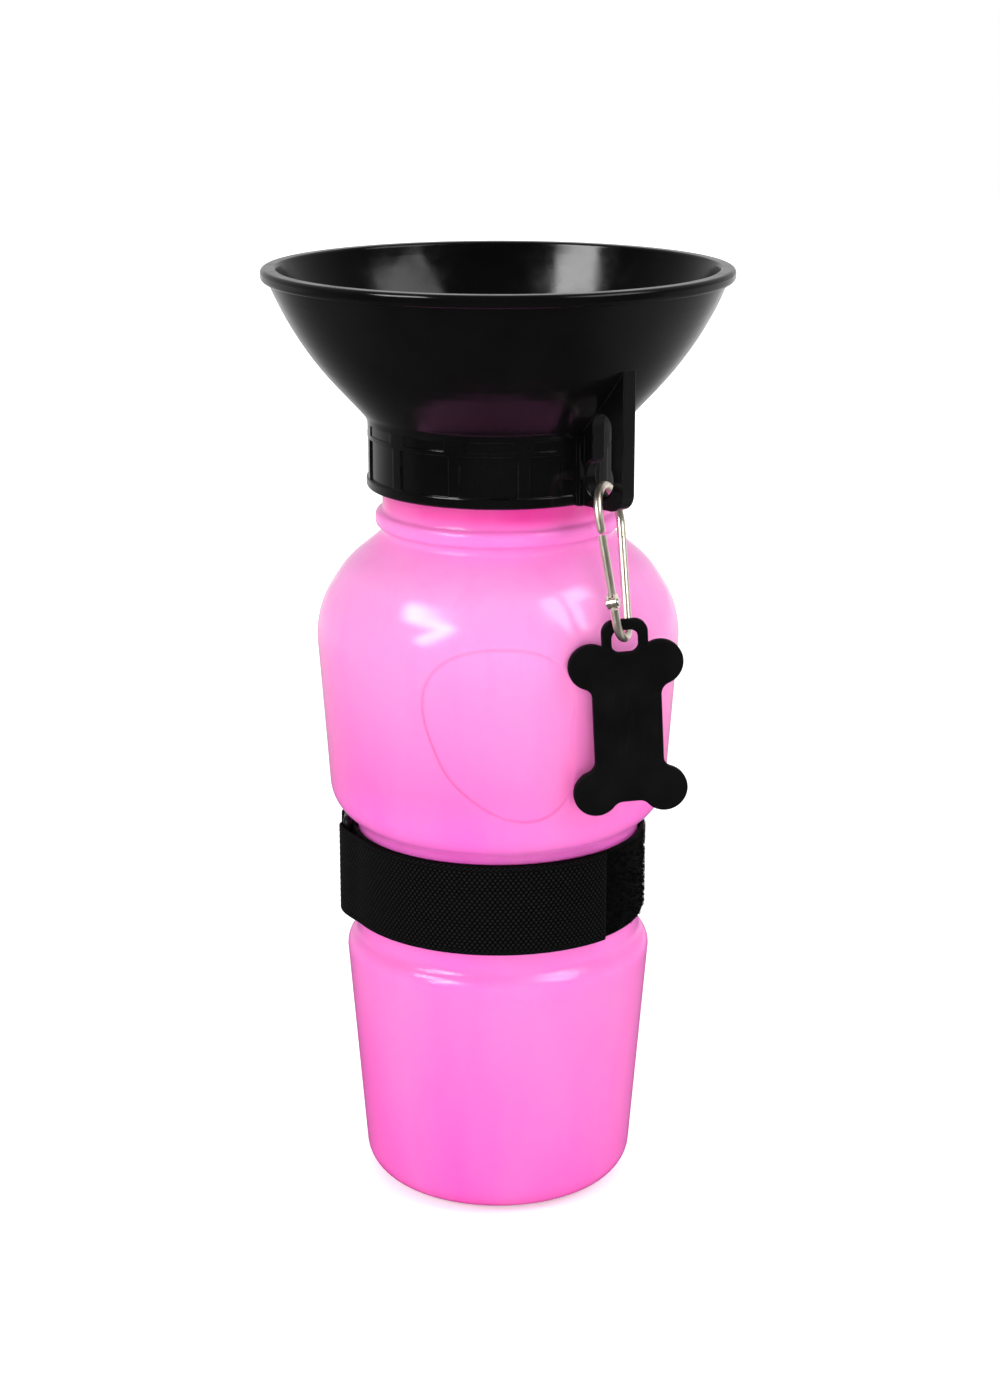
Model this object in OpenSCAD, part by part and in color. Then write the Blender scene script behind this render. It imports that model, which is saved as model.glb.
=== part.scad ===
// Dog travel water bottle: a squeeze bottle with a drinking bowl as its cap.
// Z is up. The origin is the centre of the base, on the surface that the bottle stands on.
// The front of the bottle faces -Y. Angles around the bottle are counted from +X, anticlockwise.

/* [Bottle] */
// Radius of the side wall, run down to the floor
foot_r = 36.9; // [36.5:0.1:37.5]
// Corner radius round the foot
foot_corner = 8.5; // [6:0.5:9]
// Radius where the lower body turns in to the waist
hip_r = 42.5; // [42.2:0.1:43]
// Height of that turn
hip_z = 69.7; // [69:0.1:70]
// Radius at the bottom of the waist
waist_low_r = 39.4; // [39.2:0.1:39.5]
// Radius at the top of the waist
waist_top_r = 38.9; // [38.6:0.1:39.1]
// Height where the waist runs into the bulge
waist_top_z = 106; // [105.6:0.1:106.2]
// Radius of the bulge at its lower corner
bulge_low_r = 46; // [45.5:0.1:46.2]
// Height of the bulge's lower corner
bulge_low_z = 109.9; // [109.8:0.1:110.4]
// Radius of the bulge at its upper corner
bulge_top_r = 49.8; // [49.5:0.1:50]
// Height of the bulge's upper corner
bulge_top_z = 163.8; // [163:0.1:165]
// Radius of the curve in to the shoulder
bulge_corner = 25.4; // [22:0.2:26]
// Radius of the shoulder, halfway up its slope
shoulder_r = 41.5; // [41.3:0.1:41.8]
// Height of that point
shoulder_z = 177; // [176.8:0.1:177.4]
// Radius of the neck
neck_r = 31.2; // [31.1:0.05:31.3]
// Height where the shoulder meets the neck
neck_root_z = 185.5; // [185.2:0.1:185.8]
// Radius of the bead round the neck
bead_r = 33.1; // [32.4:0.1:33.3]
// Height of the mouth
mouth_z = 217.4; // [217.3:0.05:217.45]
// Radius of the hole in the neck
mouth_r = 28.6; // [28:0.1:29]
// Thickness of the blown wall
wall_t = 1.3; // [1:0.1:1.6]
// Height of the push-up under the base
push_up = 2.6; // [1:0.1:3]

/* [Thread] */
// Rise in one turn
pitch = 5; // [5:1:5]
// Turns of thread on the neck
neck_turns = 1.6; // [1.2:0.1:1.8]
// Turns of thread in the collar
collar_turns = 1.5; // [1.2:0.1:1.6]
// How far a thread stands out
thread_h = 1.4; // [1:0.1:1.4]

/* [Bowl cap] */
// Outer radius of the rim
rim_r = 62.5; // [62:0.1:63]
// Height of the rim's top
rim_z = 256.5; // [256:0.1:257]
// Thickness of the rim's lip
rim_t = 3.3; // [2.5:0.1:3.6]
// Outer radius of the screw collar
collar_r = 35; // [34.9:0.05:35.2]
// Height of the collar's lower edge
collar_z = 198.2; // [198:0.1:199]
// Radius inside the collar
collar_bore_r = 32.9; // [32.9:0.05:33.1]
// Thickness of the bowl's wall
bowl_t = 1.9; // [1.6:0.1:2.2]
// Depth of the grip panels round the collar
panel_depth = 0.5; // [0.3:0.1:0.7]

/* [Hanging lug] */
// Angle of the lug round the bottle
lug_angle = -49; // [-60:1:-40]
// Thickness of the lug
lug_t = 4.2; // [3.6:0.1:4.6]
// Reach of the lug from the axis
lug_reach = 50.5; // [50:0.1:51]
// Radius of the round eye in the lug
eye_r = 5; // [4.5:0.1:5]

/* [Dip tube] */
// Outer radius of the tube
tube_r = 4; // [3.8:0.1:4.5]
// Radius of the tube's bore
tube_bore_r = 3; // [2.8:0.05:3.2]
// Height of the tube's lower end
tube_end_z = 9; // [8:0.5:14]

/* [Strap] */
// Width of the webbing
strap_w = 25; // [24:0.5:25]
// Height of the webbing's lower edge
strap_z = 78.8; // [78:0.1:79]
// Radius inside the webbing
strap_r = 39.7; // [39.7:0.05:39.8]
// Thickness of one layer
strap_t = 0.9; // [0.8:0.05:1.1]
// Angle where the folded-back end is cut
strap_end_angle = -46; // [-55:1:-40]
// Angle of the ring round the bottle
ring_angle = 180; // [175:1:190]

/* [Carabiner] */
// Radius of the wire
wire_r = 1.15; // [1:0.05:1.2]
// Length between the wire's centres, end to end
clip_len = 39.6; // [38.5:0.1:40]
// Radius of the wide end, at the wire's centre
clip_wide_r = 8.4; // [7.5:0.1:8.6]
// Radius of the narrow end, at the wire's centre
clip_narrow_r = 4.4; // [4.2:0.1:4.6]
// Lean of the carabiner from the vertical
clip_lean = 22.3; // [22:0.1:23]
// Direction in which it leans
clip_lean_angle = -73; // [-80:1:-65]
// Turn of the carabiner about its own length
clip_twist = -38; // [-41:1:-33]

/* [Bone tag] */
// Half the distance between the middles of a pair of lobes
bone_half_w = 9; // [8.5:0.1:9.5]
// Half the distance between the upper and the lower lobes
bone_half_h = 17; // [16:0.5:18]
// Radius of a lobe
lobe_r = 6; // [5.6:0.1:6.2]
// Thickness of the tag
tag_t = 2.4; // [2:0.1:2.6]
// Direction that the tag faces
tag_face_angle = -83; // [-90:1:-75]
// Tilt of the tag in its own plane
tag_tilt = 3; // [0:0.5:4]

/* [Hidden] */
$fn = 96;

// How far a chord may lie from the arc that it stands for
arc_sag = 0.015;

// Colours
pink = [0.98, 0.48, 0.82];
black_gloss = [0.05, 0.05, 0.055];
black_matte = [0.08, 0.08, 0.085];
black_web = [0.06, 0.06, 0.06];
silicone = [0.85, 0.86, 0.86];
clear_tube = [0.9, 0.92, 0.95];
nickel = [0.75, 0.74, 0.7];

// Bowl: where the cone starts on the collar, where it curves up, and where it meets the rim
bowl_root = [collar_r, 216.75];
bowl_knee = [54, 237.4];
bowl_edge = [60.55, rim_z - rim_t];
bowl_floor_z = 221.2;
bowl_under_z = 219;
rim_face = 4.1;
foot_bead_h = 2.6;
foot_bead_out = 0.35;
port_r = 6.5;
port_z = 224;
port_hole_r = 2;
spigot_z = 206;

// Threads: both start at the same angle, half a pitch apart
thread_start = 20;
neck_thread_z = 202.2;

// Gasket
gasket_t = 1.5;
gasket_in = 28.4;
gasket_out = 32.4;
gasket_gap = 0.03;

// Grip panels: the ridge pitch, the ridge width and the plain stretch at the lug
panel_pitch = 30;
panel_span = 25;
panel_low_z = collar_z + foot_bead_h + 0.3;
panel_top_z = 211.8;
window_low_z = 213;
window_top_z = 215.6;
window_depth = 0.25;
short_panel_span = 14;
short_panel_offset = 20.5;

// Lug: the eye's centre, the slot above it, and the pad at its root
eye_at = [41.6, 206];
eye_chamfer = 0.6;
slot_half = 3.5;
slot_at = 42.8;
slot_top_z = 219.4;
lug_corner = 4.5;
pad_t = 7.2;
pad_reach = 36.2;

// Medallion pressed into the front of the bulge, left bare
medal_r = 21.8;
medal_z = 141;
medal_depth = 0.45;

// Strap: radii to the middle of a layer. The folded-back layer's free end peels from peel_angle on
hook_t = 0.4;
flap_r = strap_r + 1.5 * strap_t + 0.05;
outer_r = strap_r + 1.5 * strap_t + 0.2 + hook_t;
peel_angle = -85;
peel_gap = 1.4;
ring_bar_r = 1.3;
bar_span = 7.5;
turn_r = ring_bar_r + 0.15 + strap_t / 2;
ring_track = strap_r + strap_t / 2 + turn_r;
ring_low_z = 76.2;
ring_h = 29.4;
ring_cross = 1.6;
cross_half_t = 1.1;
flap_span = 44;
lift_span = 20;
stitch_r = 0.22;
stitch_len = 2;

// Carabiner: clip_top is the middle of the wire where it passes through the lug's eye
clip_hang_r = 42.2;
clip_top = [clip_hang_r * cos(lug_angle), clip_hang_r * sin(lug_angle), 204.1];
clip_run = clip_len - clip_wide_r - clip_narrow_r;
clip_slope = asin((clip_wide_r - clip_narrow_r) / clip_run);
leg_len = clip_run * cos(clip_slope);
leg_inset = 0.02;
leg_lap = 0.25;
nose_s = 3.9;
gate_tip_s = nose_s + 0.25;
pivot_s = 21.6;
ear_r = 1.5;
ear_t = 1.2;
neck_gap = ear_r + 0.3;
tongue_half = 1;
gate_r = 1.1;
gate_bore_r = 0.68;
fork_t = 0.6;
fork_at = ear_t / 2 + 0.1 + fork_t / 2;
pin_r = 0.6;
pin_gap = 0.04;
spring_wire = 0.15;
spring_r = 0.48;
spring_pitch = 0.6;
spring_turns = 11;
spring_len = spring_pitch * spring_turns + 2 * spring_wire;

// Bone tag: heights are counted from the wire that its loop hangs on, and it hangs inward and to the right of that
tag_back = 0.6;
tag_right = 0.3;
bone_mid = -24.2;
bone_end = 19.8;
bone_fillet = 3;
loop_half_w = 6;
loop_top = 4.8;
loop_bar = 2.7;
loop_hole_half_w = 3.5;
loop_hole_h = 6;

// ---- Outlines ----

function unit(v) = v / norm(v);
function left_of(v) = [-v[1], v[0]];
function flat2(p) = [p[0], p[1]];
function arc(c, r, a0, a1, step = 6) =
    let (n = max(2, ceil(abs(a1 - a0) / step)))
    [for (i = [0:n]) c + r * [cos(a0 + (a1 - a0) * i / n), sin(a0 + (a1 - a0) * i / n)]];

// The largest step along an arc of radius r whose chords stay within arc_sag of it
function smooth_step(r) = 2 * acos(1 - arc_sag / max(r, 2 * arc_sag));

// The points of one rounded corner b between a and c, with radius b[2]
function corner(a, b, c, step) =
    let (
        u = unit(flat2(a) - flat2(b)),
        v = unit(flat2(c) - flat2(b)),
        half = acos(u * v) / 2,
        mid = flat2(b) + unit(u + v) * b[2] / sin(half),
        from = flat2(b) + u * b[2] / tan(half) - mid,
        to = flat2(b) + v * b[2] / tan(half) - mid,
        a0 = atan2(from[1], from[0]),
        turn = atan2(to[1], to[0]) - a0,
        sweep = turn > 180 ? turn - 360 : turn < -180 ? turn + 360 : turn
    )
    arc(mid, b[2], a0, a0 + sweep, min(step, smooth_step(b[2])));

// A path through points [r, z, corner radius], with its corners rounded
function rounded(v, step = 6) =
    [for (i = [0:len(v) - 1])
        each (i == 0 || i == len(v) - 1 || v[i][2] == 0)
            ? [flat2(v[i])]
            : corner(v[i - 1], v[i], v[i + 1], step)];

// Where the line through p along u meets the line through q along v
function meet(p, u, q, v) = p + u * ((q - p) * left_of(v)) / (u * left_of(v));

// The same path moved to its left by t, so that its walls stay parallel
function moved(v, t) =
    [for (i = [0:len(v) - 1])
        let (
            before = unit(flat2(v[max(i, 1)]) - flat2(v[max(i, 1) - 1])),
            after = unit(flat2(v[min(i + 1, len(v) - 1)]) - flat2(v[min(i + 1, len(v) - 1) - 1])),
            p = flat2(v[i]) + left_of(before) * t,
            q = flat2(v[i]) + left_of(after) * t,
            bend = before * left_of(after),
            at = abs(bend) < 0.001 ? p : meet(p, before, q, after)
        )
        [at[0], at[1], v[i][2] == 0 ? 0 : max(0.2, v[i][2] + (bend < 0 ? -t : t))]];

// ---- Screw thread ----

// One tooth swept up a helix. side is 1 outwards and -1 inwards; it fades out at both ends
module thread(root, side, z0, turns) {
    steps = ceil(turns * 40);
    base_half = 1.25;
    crest_half = 0.7;
    sunk = 0.3;
    section = [[-sunk, -base_half], [thread_h, -crest_half], [thread_h, crest_half], [-sunk, base_half]];
    points = [for (i = [0:steps]) for (p = section)
        let (
            a = thread_start + turns * 360 * i / steps,
            fade = min(1, i / 6, (steps - i) / 6),
            out = root + side * (p[0] > 0 ? p[0] * fade - 0.15 * (1 - fade) : p[0])
        )
        [out * cos(a), out * sin(a), z0 + pitch * turns * i / steps + p[1]]];
    sides = [for (i = [0:steps - 1]) for (k = [0:3])
        let (a = 4 * i + k, b = 4 * i + (k + 1) % 4)
        side > 0 ? [b, b + 4, a + 4, a] : [a, a + 4, b + 4, b]];
    first = side > 0 ? [3, 2, 1, 0] : [0, 1, 2, 3];
    last = [for (k = side > 0 ? [0, 1, 2, 3] : [3, 2, 1, 0]) 4 * steps + k];
    polyhedron(points, concat(sides, [first], [last]), convexity = 6);
}

// ---- Bottle ----

// The outside of the blown body, from the floor to the neck
body_path = [
    [0, push_up, 0],
    [20, push_up, 5],
    [27, 0, 2],
    [foot_r, 0, foot_corner],
    [hip_r, hip_z, 5],
    [waist_low_r, 72.3, 2.9],
    [waist_top_r, waist_top_z, 2.5],
    [bulge_low_r, bulge_low_z, 11.4],
    [bulge_top_r, bulge_top_z, bulge_corner],
    [shoulder_r, shoulder_z, 25],
    [neck_r, neck_root_z, 0.6],
    [neck_r, mouth_z, 0]
];

module neck_bead() {
    rotate_extrude() polygon(rounded([
        [neck_r - 1, 187.3, 0], [neck_r, 187.3, 0.1], [bead_r, 187.8, 1.4],
        [bead_r, 191.4, 1.4], [neck_r, 191.9, 0.1], [neck_r - 1, 191.9, 0]], 12));
}

module bottle_outside() {
    rotate_extrude() polygon(concat(rounded(body_path), [[0, mouth_z]]));
}

module bottle_inside() {
    inner = moved(body_path, wall_t);
    top = len(inner) - 1;
    blown = [for (i = [0:top - 2]) inner[i]];
    rotate_extrude() polygon(concat(
        rounded(concat(blown, [[mouth_r, neck_root_z + 1, 2], [mouth_r, mouth_z + 1, 0]])),
        [[0, mouth_z + 1]]));
}

// Reach of the medallion from its middle: a rounded shield, fuller at its lower right and cut away at its lower left
function medal_reach(a) =
    medal_r + 2.3 * cos(a - 43) + 2.8 * cos(2 * (a + 69)) + 1.35 * cos(3 * (a - 52)) + 1.1 * cos(4 * (a - 42));

// The thin skin that the medallion presses in, all at one depth
module medallion_cut() {
    outline = [for (a = [0:7.5:352.5]) medal_reach(a) * [cos(a), sin(a)]];
    floor_path = moved(body_path, medal_depth);
    difference() {
        translate([0, -30, medal_z]) rotate([90, 0, 0]) linear_extrude(30) polygon(outline);
        rotate_extrude() polygon(concat(rounded(floor_path), [[0, mouth_z]]));
    }
}

module bottle() {
    color(pink) difference() {
        union() {
            bottle_outside();
            neck_bead();
            thread(neck_r, 1, neck_thread_z, neck_turns);
        }
        bottle_inside();
        medallion_cut();
    }
}

// ---- Bowl cap ----

bowl_wall = [
    [bowl_root[0], collar_z, 0],
    [bowl_root[0], bowl_root[1], 4],
    [bowl_knee[0], bowl_knee[1], 90],
    [bowl_edge[0], bowl_edge[1], 0]
];

module bowl_shell() {
    inner = moved(bowl_wall, bowl_t);
    knee = inner[2];
    slope = unit(flat2(inner[2]) - flat2(inner[1]));
    floor_edge = flat2(knee) - slope * (knee[1] - bowl_floor_z) / slope[1];
    outside = rounded([
        [collar_bore_r, collar_z, 0],
        [collar_r + foot_bead_out, collar_z, 1],
        [collar_r + foot_bead_out, collar_z + foot_bead_h, 0.8],
        [collar_r, collar_z + foot_bead_h + 0.4, 0],
        [bowl_wall[1][0], bowl_wall[1][1], bowl_wall[1][2]],
        [bowl_wall[2][0], bowl_wall[2][1], bowl_wall[2][2]],
        [bowl_edge[0], bowl_edge[1], 0.4],
        [rim_r, rim_z - rim_t, 1.2],
        [rim_r, rim_z, 1.2],
        [rim_r - rim_face, rim_z, 1],
        [knee[0], knee[1], knee[2]],
        [floor_edge[0], floor_edge[1], 3],
        [port_r + 1, bowl_floor_z - 0.4, 1],
        [port_r, port_z, 0.8],
        [port_hole_r, port_z, 0.3],
        [port_hole_r, spigot_z, 0],
        [tube_bore_r, spigot_z, 0],
        [tube_bore_r, bowl_under_z, 0],
        [collar_bore_r, bowl_under_z, 0]
    ], 5);
    rotate_extrude() polygon(outside);
}

// A sector of a thin ring, centred on an angle
module ring_sector(inner_r, outer_r, z0, z1, at, span) {
    rotate([0, 0, at - span / 2]) rotate_extrude(angle = span)
        translate([inner_r, z0]) square([outer_r - inner_r, z1 - z0]);
}

module grip_panel(at, span) {
    ring_sector(collar_r - panel_depth, collar_r + 1, panel_low_z, panel_top_z, at, span);
    ring_sector(collar_r - window_depth, collar_r + 1, window_low_z, window_top_z, at, span - 4);
}

module grip_panels() {
    for (i = [1:10]) grip_panel(lug_angle + panel_pitch * (i + 0.5), panel_span);
    for (side = [-1, 1]) grip_panel(lug_angle + side * short_panel_offset, short_panel_span);
}

module lug() {
    rotate([0, 0, lug_angle]) {
        difference() {
            translate([0, lug_t / 2, 0]) rotate([90, 0, 0]) linear_extrude(lug_t)
                polygon(rounded([
                    [collar_bore_r + 1, collar_z, 0],
                    [lug_reach, collar_z, lug_corner],
                    [lug_reach, 235, 0],
                    [36.2, 219.7, 0],
                    [collar_bore_r + 1, 217, 0]]));
            translate([eye_at[0], 0, eye_at[1]]) {
                rotate([90, 0, 0]) cylinder(r = eye_r, h = 2 * lug_t, center = true);
                for (side = [-1, 1]) rotate([90 * side, 0, 0]) translate([0, 0, lug_t / 2 - eye_chamfer])
                    cylinder(r1 = eye_r, r2 = eye_r + 2 * eye_chamfer, h = 2 * eye_chamfer);
            }
            translate([slot_at, 0, slot_top_z]) rotate([90, 0, 0])
                cylinder(r = slot_half, h = 2 * lug_t, center = true);
            translate([slot_at - slot_half, -lug_t, eye_at[1]])
                cube([2 * slot_half, 2 * lug_t, slot_top_z - eye_at[1]]);
        }
        translate([collar_bore_r + 1, -pad_t / 2, collar_z])
            cube([pad_reach - collar_bore_r - 1, pad_t, 18.6]);
    }
}

module bowl_cap() {
    color(black_gloss) union() {
        difference() {
            bowl_shell();
            grip_panels();
        }
        lug();
        thread(collar_bore_r, -1, neck_thread_z - pitch / 2, collar_turns);
    }
}

module gasket() {
    color(silicone) translate([0, 0, mouth_z + gasket_gap]) difference() {
        cylinder(r = gasket_out, h = gasket_t);
        translate([0, 0, -1]) cylinder(r = gasket_in, h = gasket_t + 2);
    }
}

module dip_tube() {
    color(clear_tube) difference() {
        translate([0, 0, tube_end_z]) cylinder(r = tube_r, h = bowl_under_z - tube_end_z);
        translate([0, 0, tube_end_z - 1]) cylinder(r = tube_bore_r, h = bowl_under_z);
        translate([0, 0, tube_end_z]) rotate([0, 40, 0]) translate([0, 0, -10])
            cube([40, 40, 20], center = true);
    }
}

// ---- Strap: one strip of webbing round the waist, turned back through the ring ----

// One edge of a layer that leaves a bar of the ring and settles down onto the layer under it
function settling(r, bar_angle, end_angle, lift) =
    let (steps = ceil(abs(end_angle - bar_angle) / 3))
    [for (i = [0:steps])
        let (
            a = bar_angle + (end_angle - bar_angle) * i / steps,
            away = min(1, abs(a - bar_angle) / lift_span)
        )
        (r + lift * (1 + cos(180 * away)) / 2) * [cos(a), sin(a)]];

function round_bar(bar_angle, r, from, to) =
    arc(ring_track * [cos(bar_angle), sin(bar_angle)], r, bar_angle + from + 15, bar_angle + to - 15, 15);

function reversed(pts) = [for (i = [len(pts) - 1:-1:0]) pts[i]];

// One side of the strip, from its sewn end round the rear bar, the bottle and the front bar
function strip_side(out) =
    let (
        rear = ring_angle - bar_span,
        front = ring_angle + bar_span,
        track = ring_track + turn_r,
        peel = 360 + peel_angle - peel_gap
    )
    concat(
        reversed(settling(flap_r + out, rear, rear - flap_span, track - flap_r)),
        round_bar(rear, turn_r + out, 0, 180),
        arc([0, 0], strap_r + strap_t / 2 - out, rear, front - 360, 3),
        round_bar(front, turn_r + out, 180, 360),
        settling(outer_r + out, front, peel, track - outer_r));

module strap_band() {
    color(black_web) translate([0, 0, strap_z]) linear_extrude(strap_w)
        polygon(concat(strip_side(-strap_t / 2), reversed(strip_side(strap_t / 2))));
}

// The plan of a layer that follows the bottle
module layer_plan(inner_r, thickness, from, to) {
    polygon(concat(arc([0, 0], inner_r, from, to, 3), arc([0, 0], inner_r + thickness, to, from, 3)));
}

module strap_tab() {
    color(black_web) translate([0, 0, strap_z]) linear_extrude(strap_w)
        layer_plan(outer_r - strap_t / 2, strap_t, peel_angle, strap_end_angle);
}

module hook_patch() {
    color(black_matte) translate([0, 0, strap_z + 1]) linear_extrude(strap_w - 2)
        layer_plan(outer_r - strap_t / 2 - hook_t, hook_t - 0.02, peel_angle + 3, strap_end_angle - 1);
}

module strap_ring() {
    half = ring_track * sin(bar_span);
    color(black_gloss) {
        for (side = [-1, 1]) rotate([0, 0, ring_angle + side * bar_span])
            translate([ring_track, 0, ring_low_z]) cylinder(r = ring_bar_r, h = ring_h, $fn = 48);
        rotate([0, 0, ring_angle]) for (z = [ring_low_z, ring_low_z + ring_h - ring_cross])
            translate([ring_track * cos(bar_span) - cross_half_t, -half, z])
                cube([2 * cross_half_t, 2 * half, ring_cross]);
    }
}

// A box of thread round the sewn-down end
module strap_stitches() {
    r = flap_r + strap_t / 2 + stitch_r;
    first = ring_angle - bar_span - flap_span + 2;
    span = flap_span - lift_span - 4;
    inset = 3;
    rows = 7;
    rise = (strap_w - 2 * inset) / rows;
    color([0.16, 0.16, 0.16]) {
        for (i = [0:3]) for (z = [strap_z + inset, strap_z + strap_w - inset])
            rotate([0, 0, first + span * (i + 0.5) / 4]) translate([r, 0, z]) rotate([90, 0, 0])
                cylinder(r = stitch_r, h = stitch_len, center = true, $fn = 16);
        for (i = [0:rows - 1]) for (a = [first, first + span])
            rotate([0, 0, a]) translate([r, 0, strap_z + inset + rise * (i + 0.5)])
                cylinder(r = stitch_r, h = stitch_len, center = true, $fn = 16);
    }
}

// ---- Carabiner: drawn hanging straight down from the origin, with its gate leg on the +X side ----

module as_clipped() {
    translate(clip_top) rotate([0, 0, clip_lean_angle]) rotate([0, -clip_lean, 0])
        rotate([0, 0, clip_twist]) children();
}

// Puts its children on the gate leg, s below the leg's top, with Z running up the leg
module on_leg(s) {
    translate([
        clip_wide_r * cos(clip_slope) - s * sin(clip_slope),
        0,
        -clip_wide_r * (1 + sin(clip_slope)) - s * cos(clip_slope)])
        rotate([0, clip_slope, 0]) children();
}

// A bent stretch of wire about a centre on the clip's own axis
module wire_bend(centre_z, bend_r, from, span) {
    translate([0, 0, centre_z]) rotate([90, 0, 0]) rotate([0, 0, from])
        rotate_extrude(angle = span) translate([bend_r, 0]) circle(r = wire_r, $fn = 48);
}

module cross_cylinder(r, h) {
    rotate([90, 0, 0]) cylinder(r = r, h = h, center = true, $fn = 48);
}

// A straight stretch of the gate leg's wire. Its lower end is rounded where tip is true
module leg_wire(top, bottom, tip = false) {
    r = wire_r - leg_inset;
    on_leg(bottom) rotate_extrude($fn = 48) polygon(concat(
        tip ? arc([0, r], r, -90, 0, 15) : [[0, 0], [r, 0]],
        [[r, bottom - top], [0, bottom - top]]));
}

module carabiner_frame() {
    neck = pivot_s + neck_gap;
    color(nickel) as_clipped() {
        wire_bend(-clip_wide_r, clip_wide_r, -clip_slope, 180 + 2 * clip_slope);
        wire_bend(clip_narrow_r - clip_len, clip_narrow_r, 180 + clip_slope, 180 - 2 * clip_slope);
        mirror([1, 0, 0]) leg_wire(-leg_lap, leg_len + leg_lap);
        leg_wire(-leg_lap, nose_s, true);
        leg_wire(neck, leg_len + leg_lap);
        on_leg(pivot_s) difference() {
            union() {
                cross_cylinder(ear_r, ear_t);
                translate([-tongue_half, -ear_t / 2, -neck_gap - 0.4])
                    cube([2 * tongue_half, ear_t, neck_gap + 0.4]);
            }
            cross_cylinder(pin_r, 4 * wire_r);
        }
    }
}

module carabiner_gate() {
    arm = neck_gap + 0.4;
    color(nickel) as_clipped() difference() {
        union() {
            on_leg(pivot_s - neck_gap) cylinder(r = gate_r, h = pivot_s - neck_gap - gate_tip_s, $fn = 48);
            for (side = [-1, 1]) on_leg(pivot_s) translate([0, side * fork_at, 0]) {
                cross_cylinder(ear_r, fork_t);
                translate([-tongue_half, -fork_t / 2, 0]) cube([2 * tongue_half, fork_t, arm]);
            }
        }
        on_leg(pivot_s) cross_cylinder(pin_r + pin_gap, 6 * wire_r);
        on_leg(pivot_s - neck_gap + 0.1) cylinder(r = gate_bore_r, h = spring_len, $fn = 48);
    }
}

module gate_pin() {
    color(nickel) as_clipped() on_leg(pivot_s) {
        cross_cylinder(pin_r, 2 * fork_at + fork_t + 0.2);
        for (side = [-1, 1]) translate([0, side * (fork_at + fork_t / 2 + 0.2), 0])
            cross_cylinder(pin_r + 0.35, 0.3);
    }
}

// The coil that closes the gate, inside the gate's bore: half turns that climb half a pitch each
module gate_spring() {
    tilt = asin(spring_pitch / (4 * spring_r));
    color(nickel) as_clipped() on_leg(pivot_s - ear_r - 0.05)
        for (i = [0:2 * spring_turns - 1])
            translate([0, 0, spring_wire + spring_pitch * (i / 2 + 0.25)])
                rotate([0, i % 2 == 0 ? tilt : -tilt, 0]) rotate([0, 0, 180 * (i % 2)])
                    rotate_extrude(angle = 180, $fn = 32) translate([spring_r, 0]) circle(r = spring_wire, $fn = 16);
}

// ---- Bone tag: drawn in the XZ plane, hanging from the origin, its face to -Y ----

// The middle of the wire's lower bend, which the tag's loop hangs on
tag_at = clip_top + clip_len * [
    sin(clip_lean) * cos(clip_lean_angle), sin(clip_lean) * sin(clip_lean_angle), -cos(clip_lean)];

// One quarter of the bone's outline, from the side round a lobe to the end
function bone_quarter() =
    let (
        lobe = [bone_half_w, bone_half_h],
        reach = lobe_r + bone_fillet,
        side_dy = sqrt(reach * reach - bone_fillet * bone_fillet),
        end_dy = bone_end - bone_half_h + bone_fillet,
        end_dx = sqrt(reach * reach - end_dy * end_dy),
        side_mid = lobe + [bone_fillet, -side_dy],
        end_mid = lobe + [-end_dx, end_dy],
        side_a = atan2(-side_dy, bone_fillet),
        end_a = atan2(end_dy, -end_dx)
    )
    concat(
        arc(side_mid, bone_fillet, 180, 180 + side_a, 12),
        arc(lobe, lobe_r, side_a, end_a, 10),
        arc(end_mid, bone_fillet, end_a - 180, -90, 12));

function flipped(pts, sx, sy) = [for (p = pts) [sx * p[0], sy * p[1]]];

module bone_plan() {
    q = bone_quarter();
    polygon(concat(q, reversed(flipped(q, -1, 1)), flipped(q, -1, -1), reversed(flipped(q, 1, -1))));
}

module rounded_box_plan(half_w, low, high, r) {
    polygon(rounded([
        [0, low, 0], [half_w, low, r], [half_w, high, r], [-half_w, high, r], [-half_w, low, r], [0, low, 0]], 15));
}

module bone_tag() {
    color(black_matte) translate(tag_at) rotate([0, 0, tag_face_angle + 90]) rotate([0, -tag_tilt, 0])
        translate([tag_right, tag_t / 2 + tag_back, 0]) rotate([90, 0, 0]) linear_extrude(tag_t) difference() {
            union() {
                translate([0, bone_mid]) bone_plan();
                rounded_box_plan(loop_half_w, loop_top - loop_bar - loop_hole_h - 2, loop_top, 3.4);
            }
            rounded_box_plan(loop_hole_half_w, loop_top - loop_bar - loop_hole_h, loop_top - loop_bar, 2.2);
        }
}

bottle();
bowl_cap();
gasket();
dip_tube();
strap_band();
strap_tab();
hook_patch();
strap_ring();
strap_stitches();
carabiner_frame();
carabiner_gate();
gate_pin();
gate_spring();
bone_tag();
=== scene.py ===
"""Dog travel water bottle: a squeeze bottle with a bowl cap, a webbing hand strap, a carabiner and a bone tag."""

import math
import random

import bpy
from mathutils import Matrix, Vector, geometry


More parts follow.
